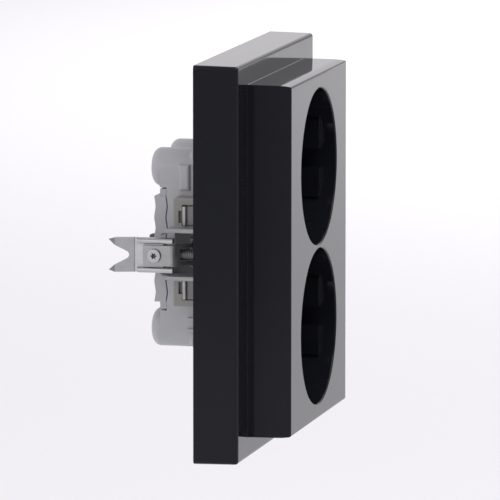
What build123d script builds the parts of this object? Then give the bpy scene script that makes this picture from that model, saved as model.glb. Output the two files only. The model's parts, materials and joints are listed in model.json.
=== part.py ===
from build123d import *
import math
import os

# Double earthed wall socket for one round wall box, in millimetres.
# The origin is the middle of the wall plane. The front looks towards -Y,
# what goes into the wall box reaches towards +Y, +X is right and +Z is up.

# Outer frame
FRAME_SIDE_BORDER = 11.0
FRAME_END_BORDER = 5.95
FRAME_DEPTH = 11.8
FRAME_WALL = 2.2
FRAME_FACE = 2.0
FRAME_DRAFT_DEG = 1.0
FRAME_CORNER = 1.0
FRAME_EDGE = 0.9
COLLAR_WALL = 1.6
LEDGE_WIDTH = 2.6
LEDGE_THICKNESS = 1.4
LEDGE_TO_WALL = 3.6
RIB_THICKNESS = 1.2
RIB_INSET = 4.4
RIB_ROWS = (-30.0, -10.0, 10.0, 30.0)
RIB_COLUMNS = (-20.0, 0.0, 20.0)

# Cover with its two wells
COVER_WIDTH = 64.0
COVER_WALL = 1.8
COVER_SLOPE = 0.026
COVER_END_SLOPE = 0.008
COVER_GAP = 0.15
COVER_CROWN_DEPTH = 3.4
COVER_CROWN_DROP = 0.3
COVER_EDGE = 0.55
WELL_DIAMETER = 41.0
WELL_BRIDGE = 1.2
WELL_MARGIN = 4.1
WELL_DEPTH = 17.5
WELL_WALL = 1.6
WELL_FLOOR = 2.0
WELL_RIM_EDGE = 0.4
SHOULDER_DEPTH = 3.6
SHOULDER_INNER = 2.6
SHOULDER_OUTER = 10.3
SHOULDER_START = 4.0
PIN_DIAMETER = 4.8
PIN_SPACING = 19.0
PIN_HOLE_DIAMETER = 5.9
PIN_LEAD_IN = 0.6
CLIP_SLOT_WIDTH = 7.4
CLIP_SLOT_PLAY = 0.3
FLOOR_BOSS_DIAMETER = 8.6

# Cover screws
SCREW_DIAMETER = 3.0
SCREW_HEAD_DIAMETER = 6.0
SCREW_HEAD_HEIGHT = 1.6
SCREW_LENGTH = 8.4
SCREW_SINK = 0.2
SCREW_CLEARANCE = 0.4
THREAD_CLEARANCE = 0.05
SLOT_CUT_WIDTH = 0.8
SLOT_CUT_DEPTH = 0.9
SLOT_CUT_REACH = 0.36
SHORT_SLOT_SHARE = 0.7
COUNTERSINK_DEG = 45
SCREW_HEAD_RIM = 0.3
SCREW_END_CHAMFER = 0.4

# Earth bracket and its clips
BRACKET_WIDTH = 8.0
BRACKET_THICKNESS = 1.0
CLIP_WIDTH = 6.0
CLIP_THICKNESS = 0.7
CLIP_CONTACT_INSET = 4.0
CLIP_ROOT_INSET = 2.1
CLIP_TIP_INSET = 2.5
CLIP_CONTACT_DEPTH = 9.0
CLIP_TIP_DEPTH = 4.2
CLIP_BEND = 1.2
BRACKET_FLOAT = 0.2

# Support plate of sheet steel
PLATE_SIZE = 71.0
PLATE_THICKNESS = 1.2
PLATE_CORNER = 7.0
PLATE_CLEARANCE = 0.3
BOX_SCREW_SPACING = 60.0
BOX_SLOT_WIDTH = 4.0
BOX_SLOT_LENGTH = 6.4
CORNER_HOLE_DIAMETER = 4.2
CORNER_HOLE_OFFSET = 29.0
TAB_THICKNESS = 1.0
TAB_INNER = 7.2
TAB_OUTER = 12.2
TAB_BACK = 8.4
TAB_LIP = 1.1
TAB_LIP_RISE = 0.9
RELEASE_BACK = 9.6
RELEASE_LOW = 7.8
RELEASE_HIGH = 10.9
EAR_THICKNESS = 1.0
TONGUE_HALF_HEIGHT = 5.1

# Insert: moulded body, contact cover and rear cover
CONTACT_COVER_WIDTH = 45.0
CONTACT_COVER_MARGIN = 8.9
CONTACT_COVER_CORNER = 6.0
CONTACT_COVER_THICKNESS = 1.4
LOBE_RADIUS = 5.05
LOBE_BACK = 18.7
LOBE_EDGE = 2.2
LOBE_BORE_RADIUS = 3.7
LOBE_BORE_BACK = 15.6
BODY_STEP_BACK = 8.4
BODY_STEP_CORNER = 2.5
BODY_STEP_EDGE = 1.0
BLOCK_HALF_WIDTH = 20.0
BLOCK_SIDE_BACK = 11.1
BLOCK_SIDE_EDGE = 0.5
CORE_HALF_WIDTH = 14.6
BLOCK_HALF_HEIGHT = 14.2
BLOCK_BACK = 14.0
WAVE_DEPTH = 0.17
WAVES_PER_HALF = 2.5
SEAM = 0.3
REAR_COVER_THICKNESS = 3.0
REAR_COVER_HALF_HEIGHT = 13.9
CLAW_RECESS_FACE = 17.9
CHEEK_FACE = 5.75
CHEEK_THICKNESS = 1.0
CHEEK_SETBACK = 2.4
CHEEK_BACK = 11.7
CHEEK_NOSE_BACK = 13.4
CHEEK_NOSE_DROP = 1.8
NECK_BACK = 16.0
NECK_HALF_HEIGHT = 17.5
NECK_SIDE_INNER = 8.0
LATCH_INNER = 9.0
LATCH_OUTER = 14.2
LATCH_REACH = 15.8
LATCH_SLOT = 0.4
LATCH_GAP = 0.15
BOSS_OUTER = 15.6
BOSS_DROP = 5.5
BOSS_RISE = 1.3
BOSS_FRONT = 7.8
BOSS_BACK = 10.7
BOSS_EDGE = 0.8
FOOT_RIB_BACK = 8.4
FOOT_RIB_THICKNESS = 0.9
FOOT_RIB_OFFSETS = (-2.8, 0.1)

# Terminal chambers, one for each pole and one for earth
CHAMBER_WIDTH = 8.0
CHAMBER_HALF_HEIGHT = 12.4
CHAMBER_WALL = 1.2
CHAMBER_FLOOR = 1.2
TERMINAL_OFFSET = 9.0

# Pole contacts of brass strip
STRIP_THICKNESS = 0.8
STRIP_RECESS = 2.2
STRIP_OVERLAP = 3.3
STRIP_OUTER = 13.0
SLEEVE_WALL = 0.7
SLEEVE_BACK = 13.4
SLEEVE_SPLIT = 1.0
SLEEVE_ROOT = 1.0
SLEEVE_FIT = 0.05
TONGUE_BACK = 12.2
TONGUE_CONTACT_HALF = 11.5
TONGUE_GAP = 0.3

# Clamp springs, wire entries and release levers
SPRING_THICKNESS = 0.5
SPRING_WIDTH = 5.0
SPRING_FRONT = 2.9
SPRING_BACK = 12.4
SPRING_TIP_DEPTH = 9.4
SPRING_TIP = 1.7
SPRING_ANCHOR = 7.4
SPRING_BEND = 0.9
WIRE_ENTRY = 2.3
WIRE_HOLE_DIAMETER = 3.6
WIRE_FUNNEL = 0.9
LEVER_CENTRE = 5.3
LEVER_THICKNESS = 2.2
LEVER_HALF_WIDTH = 3.4
LEVER_BAR_HALF = 11.0
LEVER_BAR_THICKNESS = 2.4
LEVER_FOOT_FRONT = 7.2
LEVER_PROUD = 2.4
LEVER_EDGE = 0.7
LEVER_FIT = 0.3

# Spreading claws
CLAW_PIVOT_X = 20.0
CLAW_PIVOT_Y = 4.6
CLAW_PIN_DIAMETER = 1.6
CLAW_PIN_FIT = 0.05
CLAW_EYE_RADIUS = 1.7
STRAP_THICKNESS = 1.2
STRAP_HALF_WIDTH = 2.7
STRAP_X = 27.0
STRAP_BEND_Y = 9.2
STRAP_BACK = 17.2
STRAP_BEND_RADIUS = 1.6
STRAP_SLOT_NEAR = 1.8
STRAP_SLOT_FAR = 6.7
STRAP_SLOT_HALF = 1.85
CLAW_HALF_WIDTH = 4.5
CLAW_THICKNESS = 1.2
CLAW_WEB_FRONT = 12.2
CLAW_BEND_Y = 19.65
CLAW_GROOVE_WIDTH = 0.3
CLAW_GROOVE_DEPTH = 0.2
CLAW_TIP_Y = 26.4
CLAW_TIP_X = 27.6
CLAW_TIP_Z = 4.0
CLAW_TAPER_Y = 24.7
CLAW_INNER_Z = 2.55
CLAW_NOTCH_Y = 21.5
CLAW_NOTCH_Z = 0.85
CLAW_VALLEY_Y = 21.1
CLAW_VALLEY_Z = 0.3
CLAW_GRIND = 0.8
BEAD_INNER = 3.1
BEAD_FRONT = 9.3
BEAD_BACK = 18.6
BEAD_RISE = 1.4
BEAD_EDGE = 0.6
BEND_RELIEF = 0.35
SIDE_SCREW_Y = 14.2
SIDE_SCREW_HEAD = 3.6
SIDE_SCREW_HEAD_HEIGHT = 0.6
SIDE_SCREW_DIAMETER = 2.0
SIDE_SCREW_REACH = 3.2
STAR_POINTS = 6
STAR_RADIUS = 0.95
STAR_DEPTH = 0.6
STAR_WAIST = 0.55

# Tension screws and their nuts
TENSION_X = 23.5
TENSION_HEAD_DIAMETER = 4.6
TENSION_HEAD_HEIGHT = 1.3
TENSION_FLOAT = 0.1
TENSION_COLLAR = 0.7
TENSION_COLLAR_DIAMETER = 4.2
TENSION_TIP_Y = 11.9
TENSION_FIT = 0.1
NUT_FRONT = 9.3
NUT_THICKNESS = 2.0
NUT_WIDTH = 4.6
NUT_HEIGHT = 4.8
NUT_CORNER = 0.5

# Depths worked out from the sizes above, all measured along Y
FRAME_FRONT = -FRAME_DEPTH
LEDGE_BACK = -LEDGE_TO_WALL
LEDGE_FRONT = LEDGE_BACK - LEDGE_THICKNESS
PLATE_FRONT = -PLATE_THICKNESS
CONTACT_COVER_FRONT = PLATE_FRONT - CONTACT_COVER_THICKNESS
BRACKET_FRONT = CONTACT_COVER_FRONT - BRACKET_THICKNESS
FLOOR_BACK = BRACKET_FRONT - BRACKET_FLOAT
FLOOR_FRONT = FLOOR_BACK - WELL_FLOOR
COVER_FRONT = FLOOR_FRONT - WELL_DEPTH
STRIP_BACK = PLATE_FRONT + STRIP_RECESS
STRIP_FRONT = STRIP_BACK - STRIP_THICKNESS
CHAMBER_FRONT = STRIP_BACK + CHAMBER_FLOOR
REAR_COVER_FRONT = BLOCK_BACK + SEAM
REAR_COVER_BACK = REAR_COVER_FRONT + REAR_COVER_THICKNESS
SKIRT_BACK = LEDGE_FRONT

# Places worked out from the sizes above
WELL_PITCH = WELL_DIAMETER + WELL_BRIDGE
COVER_HEIGHT = WELL_PITCH + WELL_DIAMETER + 2 * WELL_MARGIN
FRAME_WIDTH = COVER_WIDTH + 2 * FRAME_SIDE_BORDER
FRAME_HEIGHT = COVER_HEIGHT + 2 * FRAME_END_BORDER
WELL_RADIUS = WELL_DIAMETER / 2
WELL_Z = WELL_PITCH / 2
WELL_ROWS = (-WELL_Z, WELL_Z)
SHOULDER_FACE = WELL_RADIUS - SHOULDER_DEPTH
CLIP_CONTACT = WELL_RADIUS - CLIP_CONTACT_INSET
CLIP_ROOT = WELL_RADIUS - CLIP_ROOT_INSET
CLIP_TIP = WELL_RADIUS - CLIP_TIP_INSET
BOSS_LOW = WELL_Z - BOSS_DROP
BOSS_HIGH = WELL_Z + BOSS_RISE
PIN_X = PIN_SPACING / 2
SKIRT_SPREAD = COVER_SLOPE * (SKIRT_BACK - COVER_FRONT)
SKIRT_END_SPREAD = COVER_END_SLOPE * (SKIRT_BACK - COVER_FRONT)
OPENING_WIDTH = COVER_WIDTH + 2 * (SKIRT_SPREAD + COVER_GAP)
OPENING_HEIGHT = COVER_HEIGHT + 2 * (SKIRT_END_SPREAD + COVER_GAP)
CLIP_SLOT_INNER = CLIP_CONTACT - CLIP_THICKNESS - 2 * CLIP_SLOT_PLAY
CLIP_SLOT_OUTER = CLIP_ROOT + CLIP_THICKNESS + CLIP_SLOT_PLAY
CONTACT_COVER_HEIGHT = WELL_PITCH + 2 * CONTACT_COVER_MARGIN
STRIP_HALF_HEIGHT = WELL_Z + STRIP_OVERLAP
SLEEVE_BORE_RADIUS = PIN_DIAMETER / 2 + SLEEVE_FIT
EARTH_CHAMBER_START = -CHAMBER_WIDTH / 2
POLE_CHAMBER_START = CHAMBER_WIDTH / 2 + CHAMBER_WALL
TAB_FACE = BLOCK_HALF_WIDTH - TAB_THICKNESS + PLATE_CLEARANCE / 2
EAR_RADIUS = CLAW_PIVOT_X - CLAW_RECESS_FACE - PLATE_CLEARANCE
CLAW_WEB_X = STRAP_X - STRAP_THICKNESS / 2 - CLAW_THICKNESS / 2
CLAW_LEAN = (CLAW_TIP_X - CLAW_WEB_X) / (CLAW_TIP_Y - CLAW_BEND_Y)
CHEEK_REACH = STRAP_X - CHEEK_SETBACK

# How far cuts and roots run past a face, and a reach past the whole socket
PAST = 1.0
FAR = 60.0


def slab(outline, front, back):
    """A front-view outline, drawn in X and Z, made solid between two depths."""
    return extrude(Plane.XZ.offset(-back) * outline, amount=back - front)


def side_bar(outline, low, high):
    """A side-view outline, drawn in Y and Z, made solid between two X places."""
    return extrude(Plane.YZ.offset(low) * outline, amount=high - low)


def plan_bar(outline, low, high):
    """A plan-view outline, drawn in X and Y, made solid between two heights."""
    return extrude(Plane.XY.offset(low) * outline, amount=high - low)


def block(x_low, x_high, y_low, y_high, z_low, z_high):
    """A square-edged block between two corners."""
    centre = Pos((x_low + x_high) / 2, (y_low + y_high) / 2, (z_low + z_high) / 2)
    return centre * Box(x_high - x_low, y_high - y_low, z_high - z_low)


def disc(x, z, radius, front, back):
    """A round boss or bore along Y."""
    return slab(Pos(x, z) * Circle(radius), front, back)


def mirrored_x(shape):
    """The same shape on the other side of the middle plane X = 0."""
    return mirror(shape, about=Plane.YZ)


def mirrored_z(shape):
    """The same shape above and below the middle plane Z = 0."""
    return mirror(shape, about=Plane.XY)


def sheet_section(points, thickness, bend):
    """The section of a bent sheet that follows a line with rounded corners."""
    line = FilletPolyline(*points, radius=bend)
    return make_face(offset(line, amount=thickness / 2, side=Side.BOTH).edges())


def cover_form(inset, front, back):
    """The cover's outer or inner form: sloping sides and softly crowned ends."""
    half_w = COVER_WIDTH / 2 - inset
    half_h = COVER_HEIGHT / 2 - inset
    spread = COVER_SLOPE * (back - front)
    end_spread = COVER_END_SLOPE * (back - front)
    crown_start = front + COVER_CROWN_DEPTH
    crown_spread = COVER_END_SLOPE * COVER_CROWN_DEPTH
    side = make_face([
        Line((front, -half_h + COVER_CROWN_DROP), (front, half_h - COVER_CROWN_DROP)),
        TangentArc((crown_start, half_h + crown_spread), (front, half_h - COVER_CROWN_DROP),
                   tangent=(-1, -COVER_END_SLOPE)),
        Line((crown_start, half_h + crown_spread), (back, half_h + end_spread)),
        Line((back, half_h + end_spread), (back, -half_h - end_spread)),
        Line((back, -half_h - end_spread), (crown_start, -half_h - crown_spread)),
        TangentArc((crown_start, -half_h - crown_spread), (front, -half_h + COVER_CROWN_DROP),
                   tangent=(-1, COVER_END_SLOPE)),
    ])
    plan = make_face(Polyline(
        (-half_w, front), (half_w, front), (half_w + spread, back), (-half_w - spread, back),
        close=True))
    return side_bar(side, -FAR, FAR) & plan_bar(plan, -FAR, FAR)


def make_frame():
    """Outer frame: a tapered shell with a collar and ledge round the opening."""
    outline = RectangleRounded(FRAME_WIDTH, FRAME_HEIGHT, FRAME_CORNER)
    shell = extrude(Plane.XZ * outline, amount=FRAME_DEPTH, taper=FRAME_DRAFT_DEG)
    shell = fillet(shell.faces().sort_by(Axis.Y)[0].edges(), FRAME_EDGE)
    inner_width = FRAME_WIDTH - 2 * FRAME_WALL
    inner_height = FRAME_HEIGHT - 2 * FRAME_WALL
    face_back = FRAME_FRONT + FRAME_FACE
    hollow = slab(Rectangle(inner_width, inner_height), face_back, PAST)
    collar = slab(Rectangle(OPENING_WIDTH + 2 * COLLAR_WALL, OPENING_HEIGHT + 2 * COLLAR_WALL),
                  face_back - FRAME_FACE / 2, LEDGE_BACK)
    rib_back = -RIB_INSET
    ribs = [block(-inner_width / 2 - FRAME_WALL / 4, inner_width / 2 + FRAME_WALL / 4,
                  face_back - FRAME_FACE / 4, rib_back, z - RIB_THICKNESS / 2, z + RIB_THICKNESS / 2)
            for z in RIB_ROWS]
    ribs += [block(x - RIB_THICKNESS / 2, x + RIB_THICKNESS / 2, face_back - FRAME_FACE / 4, rib_back,
                   -inner_height / 2 - FRAME_WALL / 4, inner_height / 2 + FRAME_WALL / 4)
             for x in RIB_COLUMNS]
    opening = slab(Rectangle(OPENING_WIDTH, OPENING_HEIGHT), FRAME_FRONT - PAST, LEDGE_FRONT)
    window = slab(Rectangle(OPENING_WIDTH - 2 * LEDGE_WIDTH, OPENING_HEIGHT - 2 * LEDGE_WIDTH),
                  FRAME_FRONT - PAST, PAST)
    body = shell - hollow + collar
    for rib in ribs:
        body += rib
    return body - opening - window


def well_shoulders(centre_z):
    """Four flat-faced shoulders at the sides of a well, two beside each side slot."""
    ring = Circle(WELL_RADIUS + WELL_WALL / 2)
    middle = (SHOULDER_INNER + SHOULDER_OUTER) / 2
    height = SHOULDER_OUTER - SHOULDER_INNER
    depth = WELL_RADIUS + WELL_WALL - SHOULDER_FACE
    blocks = [Pos(sx * (SHOULDER_FACE + depth / 2), sz * middle) * Rectangle(depth, height)
              for sx in (-1, 1) for sz in (-1, 1)]
    outline = Sketch() + blocks
    front = COVER_FRONT + SHOULDER_START
    return slab(Pos(0, centre_z) * (outline & ring), front, FLOOR_FRONT + WELL_FLOOR / 2)


def floor_cuts(centre_z):
    """Pin holes with their lead-ins, clip slots and the screw's countersink in a well's floor."""
    cuts = Part()
    for sx in (-1, 1):
        cuts += disc(sx * PIN_X, centre_z, PIN_HOLE_DIAMETER / 2, FLOOR_FRONT - PAST, FLOOR_BACK + PAST)
        rim = Pos(sx * PIN_X, centre_z) * Circle(PIN_HOLE_DIAMETER / 2 + PIN_LEAD_IN)
        cuts += extrude(Plane.XZ.offset(-FLOOR_FRONT) * rim, amount=-PIN_LEAD_IN, taper=COUNTERSINK_DEG)
    slot_middle = (CLIP_SLOT_INNER + CLIP_SLOT_OUTER) / 2
    slot = Rectangle(CLIP_SLOT_WIDTH, CLIP_SLOT_OUTER - CLIP_SLOT_INNER)
    for sz in (-1, 1):
        cuts += slab(Pos(0, centre_z + sz * slot_middle) * slot, FLOOR_FRONT - PAST, FLOOR_BACK + PAST)
    hole = SCREW_DIAMETER / 2 + SCREW_CLEARANCE
    cuts += disc(0, centre_z, hole, FLOOR_FRONT - PAST, FLOOR_BACK + PAST)
    mouth = Pos(0, centre_z) * Circle(SCREW_HEAD_DIAMETER / 2 + SCREW_CLEARANCE)
    mouth_plane = Plane.XZ.offset(-FLOOR_FRONT - SCREW_SINK)
    cuts += slab(mouth, FLOOR_FRONT - PAST, FLOOR_FRONT + SCREW_SINK)
    return cuts + extrude(mouth_plane * mouth, amount=-SCREW_HEAD_HEIGHT, taper=COUNTERSINK_DEG)


def make_cover():
    """Cover with two round wells, moulded as one piece."""
    body = cover_form(0, COVER_FRONT, SKIRT_BACK)
    body = fillet(body.faces().sort_by(Axis.Y)[0].edges(), COVER_EDGE)
    body -= cover_form(COVER_WALL, COVER_FRONT + COVER_WALL, SKIRT_BACK + PAST)
    for centre_z in WELL_ROWS:
        body += disc(0, centre_z, WELL_RADIUS + WELL_WALL, COVER_FRONT + COVER_WALL / 2, FLOOR_BACK)
    for centre_z in WELL_ROWS:
        body -= disc(0, centre_z, WELL_RADIUS, COVER_FRONT - PAST, FLOOR_FRONT)
    rims = body.edges().filter_by(GeomType.CIRCLE).group_by(Axis.Y)[0]
    rims = rims.filter_by(lambda edge: edge.radius > WELL_RADIUS / 2)
    body = fillet(rims, WELL_RIM_EDGE)
    for centre_z in WELL_ROWS:
        body += well_shoulders(centre_z)
        body += disc(0, centre_z, FLOOR_BOSS_DIAMETER / 2, FLOOR_FRONT + WELL_FLOOR / 2, BRACKET_FRONT)
        body -= floor_cuts(centre_z)
        body -= disc(0, centre_z, SCREW_DIAMETER / 2 + SCREW_CLEARANCE, FLOOR_FRONT, PAST)
    groove_front = BRACKET_FRONT - CLIP_THICKNESS - BRACKET_FLOAT
    groove_half = WELL_Z - CLIP_SLOT_INNER
    return body - block(-CLIP_SLOT_WIDTH / 2, CLIP_SLOT_WIDTH / 2, groove_front, PAST,
                        -groove_half, groove_half)


def cross_cut(radius, depth):
    """A cross recess with a long slot, cut into a screw head at the origin."""
    long_slot = Box(2 * radius, 2 * depth, SLOT_CUT_WIDTH)
    short_slot = Box(SLOT_CUT_WIDTH, 2 * depth, 2 * radius * SHORT_SLOT_SHARE)
    return long_slot + short_slot


def make_cover_screw(centre_z):
    """Countersunk screw that holds the cover on the earth bracket."""
    top = FLOOR_FRONT + SCREW_SINK
    rim_back = top + SCREW_HEAD_RIM
    head = Pos(0, centre_z) * Circle(SCREW_HEAD_DIAMETER / 2)
    body = slab(head, top, rim_back)
    taper_depth = (SCREW_HEAD_DIAMETER - SCREW_DIAMETER) / 2
    body += extrude(Plane.XZ.offset(-rim_back) * head, amount=-taper_depth, taper=COUNTERSINK_DEG)
    shank = disc(0, centre_z, SCREW_DIAMETER / 2, rim_back, top + SCREW_LENGTH)
    shank = chamfer(shank.faces().sort_by(Axis.Y)[-1].edges(), SCREW_END_CHAMFER)
    recess = Pos(0, top, centre_z) * cross_cut(SCREW_HEAD_DIAMETER * SLOT_CUT_REACH, SLOT_CUT_DEPTH)
    return body + shank - recess


def clip_finger(foot_depth):
    """Side-view section of an earth clip finger, in Y and the distance from the well's middle."""
    contact_y = COVER_FRONT + CLIP_CONTACT_DEPTH
    tip_y = COVER_FRONT + CLIP_TIP_DEPTH
    return [(foot_depth, CLIP_ROOT), (contact_y + CLIP_CONTACT_DEPTH / 2, CLIP_ROOT),
            (contact_y, CLIP_CONTACT), (tip_y, CLIP_TIP)]


def make_earth_bracket():
    """Earth bracket: a strip behind both wells, an end clip in each and the earth terminal's tongue."""
    middle_y = (BRACKET_FRONT + CONTACT_COVER_FRONT) / 2
    half_height = WELL_Z + CLIP_ROOT
    strip = block(-BRACKET_WIDTH / 2, BRACKET_WIDTH / 2, BRACKET_FRONT, CONTACT_COVER_FRONT,
                  -half_height, half_height)
    for centre_z in WELL_ROWS:
        strip -= disc(0, centre_z, SCREW_DIAMETER / 2 + THREAD_CLEARANCE, BRACKET_FRONT - PAST, 0)
    section = sheet_section(clip_finger(middle_y), CLIP_THICKNESS, CLIP_BEND)
    finger = side_bar(Pos(0, WELL_Z) * section, -CLIP_WIDTH / 2, CLIP_WIDTH / 2)
    tongue_side = EARTH_CHAMBER_START + TONGUE_GAP
    tongue = block(tongue_side, tongue_side + STRIP_THICKNESS, BRACKET_FRONT, TONGUE_BACK,
                   -TONGUE_CONTACT_HALF, TONGUE_CONTACT_HALF)
    root = block(tongue_side, 0, BRACKET_FRONT, CONTACT_COVER_FRONT,
                 -TONGUE_CONTACT_HALF, TONGUE_CONTACT_HALF)
    return strip + finger + mirrored_z(finger) + tongue + root


def make_middle_clip():
    """Double earth clip between the wells: one bent strip with a finger for each well."""
    back = BRACKET_FRONT
    base_y = back - CLIP_THICKNESS / 2
    rise = [(y, WELL_Z - z) for y, z in clip_finger(base_y)]
    fall = [(y, -z) for y, z in reversed(rise)]
    section = sheet_section(fall + rise, CLIP_THICKNESS, CLIP_BEND / 2)
    return side_bar(section, -CLIP_WIDTH / 2, CLIP_WIDTH / 2)


def insert_outline(clearance):
    """Front-view outline of the insert where it passes the support plate."""
    low = Rectangle(2 * (BLOCK_HALF_WIDTH + clearance), 2 * (BLOCK_HALF_HEIGHT + clearance))
    tall = RectangleRounded(2 * (PIN_X + LOBE_RADIUS + clearance), 2 * (WELL_Z + LOBE_RADIUS + clearance),
                            BODY_STEP_CORNER + clearance)
    return low + tall


def side_strip(inner, z_low, z_high):
    """Front-view strip at the +X side, from an inner X place outwards, between two heights."""
    width = FAR - inner
    return Pos(inner + width / 2, (z_low + z_high) / 2) * Rectangle(width, z_high - z_low)


def make_support_plate():
    """Support plate: flat sheet with box-screw slots, snap tabs and folded ears for the claws."""
    plate = slab(RectangleRounded(PLATE_SIZE, PLATE_SIZE, PLATE_CORNER), PLATE_FRONT, 0)
    opening = insert_outline(PLATE_CLEARANCE)
    tongue = side_strip(CLAW_RECESS_FACE + PLATE_CLEARANCE, -TONGUE_HALF_HEIGHT, TONGUE_HALF_HEIGHT)
    tab_root = side_strip(TAB_FACE, TAB_INNER, TAB_OUTER)
    for keep in (tongue, tab_root, mirror(tab_root, about=Plane.XZ)):
        opening -= keep
        opening -= mirror(keep, about=Plane.YZ)
    plate -= slab(opening, PLATE_FRONT - PAST, PAST)
    slot = SlotOverall(BOX_SLOT_LENGTH, BOX_SLOT_WIDTH)
    lip_back = TAB_BACK
    for sx in (-1, 1):
        plate -= slab(Pos(sx * BOX_SCREW_SPACING / 2, 0) * slot, PLATE_FRONT - PAST, PAST)
        plate -= disc(sx * TENSION_X, 0, SCREW_DIAMETER / 2 + TENSION_FIT, PLATE_FRONT - PAST, PAST)
        for sz in (-1, 1):
            plate -= disc(sx * CORNER_HOLE_OFFSET, sz * CORNER_HOLE_OFFSET, CORNER_HOLE_DIAMETER / 2,
                          PLATE_FRONT - PAST, PAST)
    tab = block(TAB_FACE, TAB_FACE + TAB_THICKNESS, PLATE_FRONT, lip_back, TAB_INNER, TAB_OUTER)
    tab += block(TAB_FACE, TAB_FACE + TAB_THICKNESS + TAB_LIP_RISE, lip_back - TAB_LIP, lip_back,
                 TAB_INNER, TAB_OUTER)
    tab = fillet(tab.faces().sort_by(Axis.X)[-1].edges().filter_by(Axis.Z), TAB_LIP / 3)
    ear_low = STRAP_HALF_WIDTH + PLATE_CLEARANCE
    ear_outline = Pos(CLAW_PIVOT_X, CLAW_PIVOT_Y) * Circle(EAR_RADIUS)
    ear_outline += Pos(CLAW_PIVOT_X, (CLAW_PIVOT_Y + PLATE_FRONT / 2) / 2) * Rectangle(
        2 * EAR_RADIUS, CLAW_PIVOT_Y - PLATE_FRONT / 2)
    ear_outline -= Pos(CLAW_PIVOT_X, CLAW_PIVOT_Y) * Circle(CLAW_PIN_DIAMETER / 2 + CLAW_PIN_FIT)
    ear = plan_bar(ear_outline, ear_low, ear_low + EAR_THICKNESS)
    for fold in (tab, ear):
        upper = fold + mirrored_x(fold)
        plate += upper
        plate += mirrored_z(upper)
    return plate


def make_contact_cover():
    """Insulating plate in front of the contacts, with the four pin holes."""
    outline = RectangleRounded(CONTACT_COVER_WIDTH, CONTACT_COVER_HEIGHT, CONTACT_COVER_CORNER)
    plate = slab(outline, CONTACT_COVER_FRONT, PLATE_FRONT)
    front = CONTACT_COVER_FRONT - PAST
    back = PLATE_FRONT + PAST
    for centre_z in WELL_ROWS:
        plate -= disc(0, centre_z, SCREW_DIAMETER / 2 + SCREW_CLEARANCE, front, back)
        for sx in (-1, 1):
            plate -= disc(sx * PIN_X, centre_z, PIN_HOLE_DIAMETER / 2, front, back)
    slot_x = EARTH_CHAMBER_START + TONGUE_GAP + STRIP_THICKNESS / 2
    slot = Pos(slot_x, 0) * Rectangle(STRIP_THICKNESS + 2 * TONGUE_GAP,
                                      2 * (TONGUE_CONTACT_HALF + TONGUE_GAP))
    plate -= slab(slot, front, back)
    head = TENSION_HEAD_DIAMETER / 2 + PLATE_CLEARANCE
    for sx in (-1, 1):
        notch = Pos(sx * (TENSION_X + head), 0) * SlotOverall(4 * head, 2 * head)
        plate -= slab(notch, front, back)
    return plate


def wave_points(depth):
    """Points of the wavy seam: crests and troughs in turn, with a trough at the middle."""
    half_pitch = REAR_COVER_HALF_HEIGHT / (2 * WAVES_PER_HALF)
    steps = math.ceil(2 * WAVES_PER_HALF) + 1
    return [(depth - WAVE_DEPTH * math.cos(math.pi * step), half_pitch * step)
            for step in range(-steps, steps + 1)]


def wavy_band(front, back, half_height):
    """Side-view outline between two wavy lines, cut off at a height."""
    front_line = Spline(*wave_points(front))
    back_line = Spline(*wave_points(back))
    band = make_face([front_line, back_line, Line(front_line @ 0, back_line @ 0),
                      Line(front_line @ 1, back_line @ 1)])
    limit = Pos((front + back) / 2, 0) * Rectangle(FAR, 2 * half_height)
    return band & limit


def tower():
    """Rounded tower of the insert that holds one contact sleeve, for the right upper one."""
    post = disc(PIN_X, WELL_Z, LOBE_RADIUS, 0, LOBE_BACK)
    return fillet(post.faces().sort_by(Axis.Y)[-1].edges(), LOBE_EDGE)


def chamber_cut(start):
    """Hollow of one terminal, open to the rear."""
    return block(start, start + CHAMBER_WIDTH, CHAMBER_FRONT, FAR,
                 -CHAMBER_HALF_HEIGHT, CHAMBER_HALF_HEIGHT)


def tongue_slot(start):
    """Slot in a chamber's floor through which a contact's tongue passes."""
    return block(start, start + STRIP_THICKNESS + 2 * TONGUE_GAP, PLATE_FRONT - PAST, CHAMBER_FRONT + PAST,
                 -TONGUE_CONTACT_HALF - TONGUE_GAP, TONGUE_CONTACT_HALF + TONGUE_GAP)


def pole_recess():
    """Front recess for a pole's strip, with the two sleeve bores behind it."""
    cut = block(POLE_CHAMBER_START, STRIP_OUTER + TONGUE_GAP, PLATE_FRONT - PAST, STRIP_BACK,
                -STRIP_HALF_HEIGHT - TONGUE_GAP, STRIP_HALF_HEIGHT + TONGUE_GAP)
    for sz in (-1, 1):
        cut += disc(PIN_X, sz * WELL_Z, LOBE_BORE_RADIUS, PLATE_FRONT - PAST, LOBE_BORE_BACK)
    return cut + chamber_cut(POLE_CHAMBER_START) + tongue_slot(POLE_CHAMBER_START)


def guide_cheek():
    """Guide wall above a claw, with a nose that bends towards it, for the right side."""
    face = CHEEK_FACE
    outer = face + CHEEK_THICKNESS
    outline = make_face(Polyline(
        (PLATE_CLEARANCE, face), (CHEEK_BACK - CHEEK_THICKNESS, face),
        (CHEEK_NOSE_BACK - CHEEK_THICKNESS / 2, face - CHEEK_NOSE_DROP + CHEEK_THICKNESS),
        (CHEEK_NOSE_BACK, outer - CHEEK_NOSE_DROP), (CHEEK_BACK, outer), (PLATE_CLEARANCE, outer),
        close=True))
    return side_bar(outline, CLAW_RECESS_FACE - PAST, CHEEK_REACH)


def latched_neck():
    """Neck between a tower and the terminal block, with the notch for a latch of the rear cover."""
    neck = block(NECK_SIDE_INNER, PIN_X + LOBE_RADIUS, BODY_STEP_BACK - PAST, NECK_BACK,
                 BLOCK_HALF_HEIGHT, NECK_HALF_HEIGHT)
    return neck - block(LATCH_INNER - LATCH_SLOT, FAR, REAR_COVER_FRONT - LATCH_GAP, FAR,
                        0, LATCH_REACH + LATCH_SLOT)


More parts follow.
